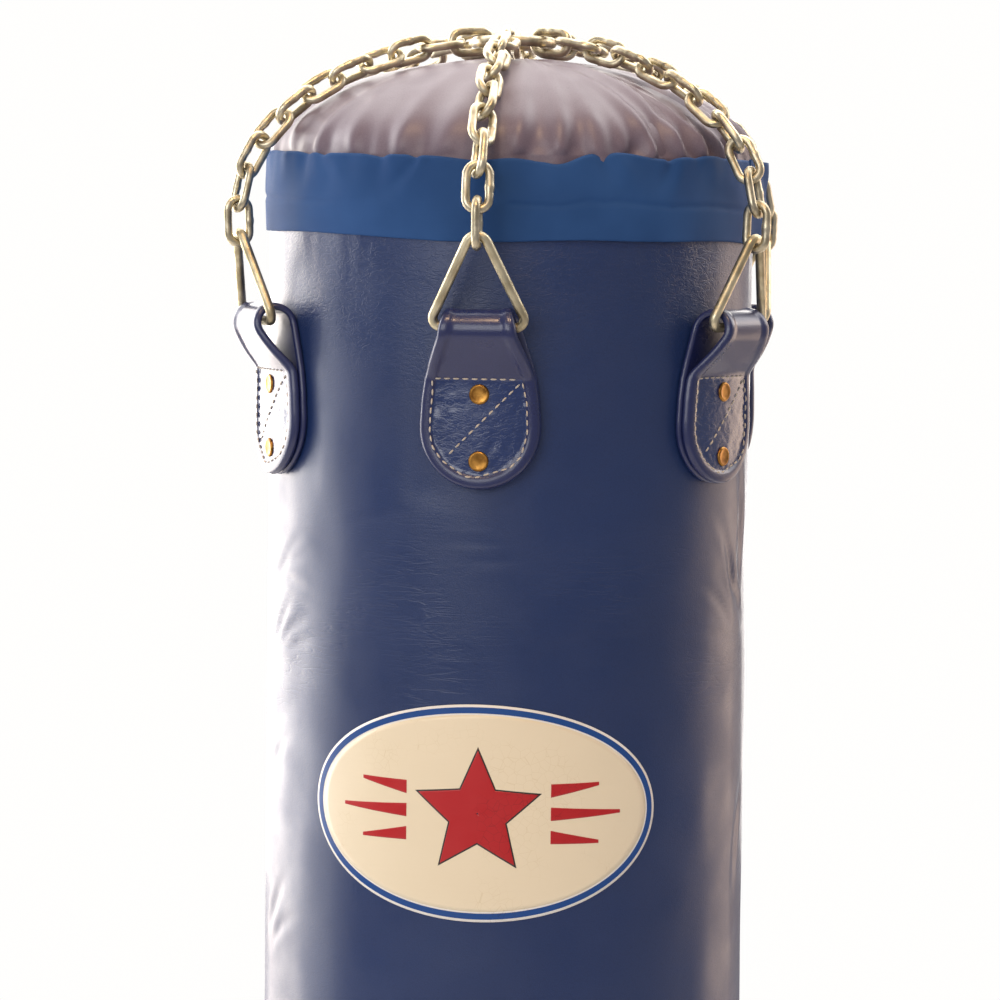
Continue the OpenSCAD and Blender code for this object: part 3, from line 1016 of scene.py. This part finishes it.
def make_links(n, group):
    node = f"chain_{n}_{group}"
    line = link_line()
    parts = []
    rng = np.random.default_rng(SEED + 100 * n + len(group))
    for triangles in sorted(solids(node), key=lambda t: t[..., 2].mean()):
        centre, long, wide, normal = link_frame(triangles)
        flip = rng.choice([-1, 1])
        points = centre + line[:, :1] * long * flip + line[:, 1:] * wide
        distance = np.hypot(line[:, 0], line[:, 1] - LINK_BEND)
        bead = rng.uniform(0.25, 0.45) * MM
        uneven = 0.05 * MM * np.sin(3 * np.arctan2(line[:, 1], line[:, 0]) + rng.uniform(0, TAU))
        radii = LINK_WIRE - 0.05 * MM + uneven + weld(distance, 1.9 * MM, bead)
        parts.append(sweep(points, radii, 16, normal, True))
    ride(joined(f"chain_links_{n}_{group}", parts), STEEL, node, [node])


def make_gather_ring():
    low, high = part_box("gather_ring")
    wire = (high.z - low.z) / 2
    radius = high.x - wire
    a = circle(120)
    centre_z = (low.z + high.z) / 2
    line = np.stack([radius * np.cos(a), radius * np.sin(a), np.full(120, centre_z)], 1)
    radii = wire - 0.05 * MM + weld(turn(a, 2.1) * radius, 2.4 * MM, 0.5 * MM)
    ring = new_object("hanging_gather_ring", *sweep(line, radii, 24, (0, 0, 1), True))
    ride(ring, STEEL, "hanger", ["gather_ring"])


# ---- badge ----


def badge_points(flat, lift):
    """Points over the leather from (across, up) places on the badge."""
    u = BADGE_U + flat[..., 0] / BAG_R
    z = BADGE_Z + flat[..., 1]
    skin = np.maximum(shell_radius(u, z), BAG_R - 0.6 * MM) + 0.3 * MM
    return on_bag(u, skin + lift, z)


def badge_sheet(name, look, outer, inner, lift):
    """A printed sheet on the leather between two outlines, each a function of an angle."""
    a = circle(160)
    mix = np.linspace(0, 1, 26)[:, None, None]
    flat = outer(a)[None] * (1 - mix) + inner(a)[None] * mix
    top, under = badge_points(flat, lift), badge_points(flat, lift - 0.35 * MM)
    piece = ring_shell(name, np.concatenate([top, under[::-1]]))
    ride(piece, look)
    return piece


def oval(scale_w, scale_h):
    def outline(a):
        return np.stack([scale_w * np.cos(a), scale_h * np.sin(a)], -1)
    return outline


def star_outline(radius, waist):
    """A five-pointed star: waist is the share of the radius at its inner corners."""
    tips = 5
    half = math.pi / tips
    dip = radius * waist * np.array([math.cos(half), math.sin(half)])
    edge = dip - np.array([radius, 0.0])

    def outline(a):
        phase = ((a - math.pi / 2) * tips / TAU) % 1
        local = (1 - np.abs(phase - 0.5) * 2) * half
        share = (radius * np.sin(local)) / (np.cos(local) * edge[1] - np.sin(local) * edge[0] + 1e-12)
        reach = np.hypot(radius + share * edge[0], share * edge[1])
        return np.stack([reach * np.cos(a), reach * np.sin(a)], -1)
    return outline


def stripe(name, side, height, inner, outer, thick):
    """A tapered stripe on one side of the star."""
    t = np.linspace(0, 1, 60)
    across = side * (inner + (outer - inner) * t)
    half = thick * (1 - 0.75 * t)
    rows = np.linspace(-1, 1, 8)[:, None]
    flat = np.stack([across + 0 * rows, height * (1 + 0.25 * t) + rows * half], -1)
    loop = np.concatenate([badge_points(flat, 0.62 * MM), badge_points(flat, 0.2 * MM)[::-1]])
    piece = capped_skin(name, loop.transpose(1, 0, 2))
    ride(piece, BADGE_RED)


def make_badge():
    centre = oval(0.5 * MM, 0.5 * MM)
    w, h = BADGE_HALF_W, BADGE_HALF_H
    rim, band, gap = 1.8 * MM, 4.2 * MM, 1.2 * MM
    field = rim + band + gap
    star_r, waist = 46 * MM, 0.46
    base = badge_sheet("badge_base", BADGE_WHITE, oval(w, h), centre, 0.30 * MM)
    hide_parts("badge")
    badge_sheet("badge_blue_ring", BADGE_BLUE, oval(w - rim, h - rim),
                oval(w - rim - band, h - rim - band), 0.42 * MM)
    badge_sheet("badge_field", BADGE_CREAM, oval(w - field, h - field), centre, 0.46 * MM)
    badge_sheet("badge_star_edge", BADGE_DARK, star_outline(star_r, waist), centre, 0.56 * MM)
    badge_sheet("badge_star", BADGE_RED, star_outline(star_r - 2.5 * MM, waist), centre, 0.64 * MM)
    for side, word in ((-1, "left"), (1, "right")):
        for row, height in enumerate((-16, 0, 16)):
            stripe(f"badge_stripe_{word}_{row + 1}", side, height * MM, 50 * MM,
                   (100 - abs(height)) * MM, 4.6 * MM)


# ---- base ----


def make_piping():
    """The piping round the bottom seam, slightly rucked."""
    low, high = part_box("base_welt")
    wire = 4 * MM
    ruck = waves(np.random.default_rng(SEED + 5), 40, (30, 140), 0)
    u, a = circle(480)[None], circle(20)[:, None]
    swell = wire - 0.15 * MM + 0.12 * MM * ruck(u, 0)
    height = np.clip(low.z + wire + swell * np.sin(a), low.z + 0.05 * MM, high.z)
    points = on_bag(u, high.x - wire + swell * np.cos(a), height)
    ride(ring_shell("base_piping", points), WELT, replaces=["base_welt"])


def make_base():
    """The leather disc that closes the bag, with a pressed groove near its edge."""
    low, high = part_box("base_disc")
    rim = high.x
    profile = [
        (0.001, 3.9), (rim * 0.5, 3.9), (rim - 1.2 * MM, 3.9), (rim, 3.0), (rim, 0.9),
        (rim - 0.8 * MM, 0.1), (rim - 9 * MM, 0.1), (rim - 11 * MM, 0.5), (rim - 13 * MM, 0.1),
        (rim * 0.4, 0.1), (0.001, 0.1),
    ]
    rings = np.stack([on_bag(circle(160), r, low.z + h * MM) for r, h in profile])
    ride(capped_skin("base_leather_disc", rings), WELT, replaces=["base_disc"])


def make_filling():
    """Packed rags: the stuffing inside the lining, lumpy where it can swell."""
    low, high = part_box("filling")
    lumps = waves(np.random.default_rng(SEED + 6), 40, (4, 26), 90)
    u = circle(120)[None]
    skin, swell, shoulder = high.x - 0.8 * MM, 0.6 * MM, DOME_RIM - 6 * MM
    side_z = np.linspace(low.z + 1 * MM, shoulder, 150)[:, None]
    side = on_bag(u, skin + swell * np.minimum(lumps(u, side_z), 1), side_z)
    a = np.linspace(0, 0.99, 30)[1:, None] * math.pi / 2
    cap_z = shoulder + (high.z - shoulder - 1.5 * MM) * np.sin(a)
    cap = on_bag(u, skin * np.cos(a), cap_z + swell * lumps(u, cap_z) * np.sin(a))
    filling = capped_skin("packed_filling", np.concatenate([side, cap]))
    ride(filling, RAGS, replaces=["filling"])


def dress_cad_nodes():
    """Materials for the CAD nodes that stay as they are."""
    kept = {"lining": CANVAS, "reinforcing_band": WEBBING, "rivet_washers": BRASS}
    for name, look in kept.items():
        materials = frame["nodes"][name].data.materials
        materials.clear()
        materials.append(look)


# ---- camera, lights and floor ----

CAMERA_PLACE = (0.010, -2.166, 1.069)
CAMERA_DOWN, CAMERA_LEFT, CAMERA_ROLL = 5.065, 0.42, 0.7
LENS_MM = 106.8
FLOOR_R = 1.6
CREAM, PEACH, ORANGE = (1.0, 0.90, 0.81), (1.0, 0.72, 0.52), (1.0, 0.66, 0.36)


def make_camera():
    data = bpy.data.cameras.new("camera")
    data.sensor_width = 36
    data.lens = LENS_MM
    camera = add("camera", data)
    camera.location = CAMERA_PLACE
    aim = Euler((math.radians(90 - CAMERA_DOWN), 0, math.radians(CAMERA_LEFT))).to_matrix().to_4x4()
    roll = Matrix.Rotation(math.radians(CAMERA_ROLL), 4, "Z")
    camera.rotation_euler = (aim @ roll).to_euler()
    bpy.context.scene.camera = camera


def softbox(name, place, target, size, power, colour=(1, 1, 1), mirrored=False):
    """An area light. A mirrored one shows in reflections and adds no light of its own."""
    data = bpy.data.lights.new(name, "AREA")
    data.shape = "RECTANGLE"
    data.size, data.size_y = size
    data.energy = power
    data.color = colour
    light = add(name, data)
    light.location = place
    light.rotation_euler = (Vector(target) - Vector(place)).to_track_quat("-Z", "Y").to_euler()
    light.visible_camera = False
    light.visible_diffuse = not mirrored


def background(tree, colour, strength):
    made = tree.nodes.new("ShaderNodeBackground")
    made.inputs[0].default_value = (*colour, 1)
    made.inputs[1].default_value = strength
    return made.outputs[0]


def make_world():
    """White behind the object, and a dimmer room that lights it."""
    world = bpy.data.worlds.new("studio")
    bpy.context.scene.world = world
    world.use_nodes = True
    tree = world.node_tree
    tree.nodes.clear()
    path = tree.nodes.new("ShaderNodeLightPath")
    seen = background(tree, (1.0, 0.995, 0.985), 1.0)
    room = background(tree, (0.86, 0.84, 0.90), 0.36)
    mix = tree.nodes.new("ShaderNodeMixShader")
    out = tree.nodes.new("ShaderNodeOutputWorld")
    tree.links.new(path.outputs["Is Camera Ray"], mix.inputs[0])
    tree.links.new(room, mix.inputs[1])
    tree.links.new(seen, mix.inputs[2])
    tree.links.new(mix.outputs[0], out.inputs[0])


def make_lights():
    wall, bag, dome = (0, 0, 1.0), (0, 0, 0.85), (0, 0, 1.15)
    softbox("back_wall", (-0.3, 2.6, 1.3), wall, (3.2, 2.6), 86, (1.0, 0.94, 0.87), mirrored=True)
    softbox("back_fill", (-0.3, 2.5, 1.6), wall, (2.6, 2.0), 22)
    softbox("sky", (0.1, 0.8, 2.8), (0, 0, 1.1), (2.6, 1.8), 48, (1.0, 0.97, 0.93))
    for side, x in (("left", -1.8), ("right", 1.8)):
        place, size = (x, 0.7, 2.3), (1.2, 1.8)
        softbox(f"sky_{side}", place, dome, size, 24, (1.0, 0.97, 0.95), mirrored=True)
    softbox("left_window", (-1.8, 1.5, 0.75), bag, (1.7, 2.0), 52, CREAM, mirrored=True)
    softbox("left_fill", (-1.9, 1.2, 1.2), bag, (1.4, 2.2), 18)
    softbox("left_side", (-2.2, 0.35, 1.0), bag, (1.2, 2.4), 20)
    softbox("right_room", (1.95, 1.35, 0.9), bag, (1.1, 2.2), 17, PEACH)
    softbox("front_fill", (-1.2, -2.6, 1.7), bag, (1.8, 1.4), 26)
    for side, x in (("left", -0.2), ("right", 0.16)):
        softbox(f"top_lamp_{side}", (x, -1.0, 2.3), dome, (0.2, 0.3), 5, ORANGE)


def make_floor():
    a = circle(96)
    edge = np.stack([FLOOR_R * np.cos(a), FLOOR_R * np.sin(a), np.full(96, -0.5 * MM)], 1)
    floor = new_object("floor", edge, [list(range(96))])
    look = Look("floor_paper", Roughness=0.9)
    paper = look.mix(look.noise(3, 2), rgb("efecea"), rgb("e4e1de"))
    floor.data.materials.append(look.done(Base_Color=paper))


make_camera()
make_world()
make_lights()
make_floor()
make_shell()
make_back_seam()
make_dome()
make_collar()
make_collar_flap()
for n in range(1, CHAINS + 1):
    make_strap(n)
    make_ring(n)
    for group in ("lower", "middle", "upper"):
        make_links(n, group)
make_rivets()
make_gather_ring()
make_badge()
make_piping()
make_base()
make_filling()
dress_cad_nodes()
bpy.context.scene.view_settings.view_transform = "Standard"
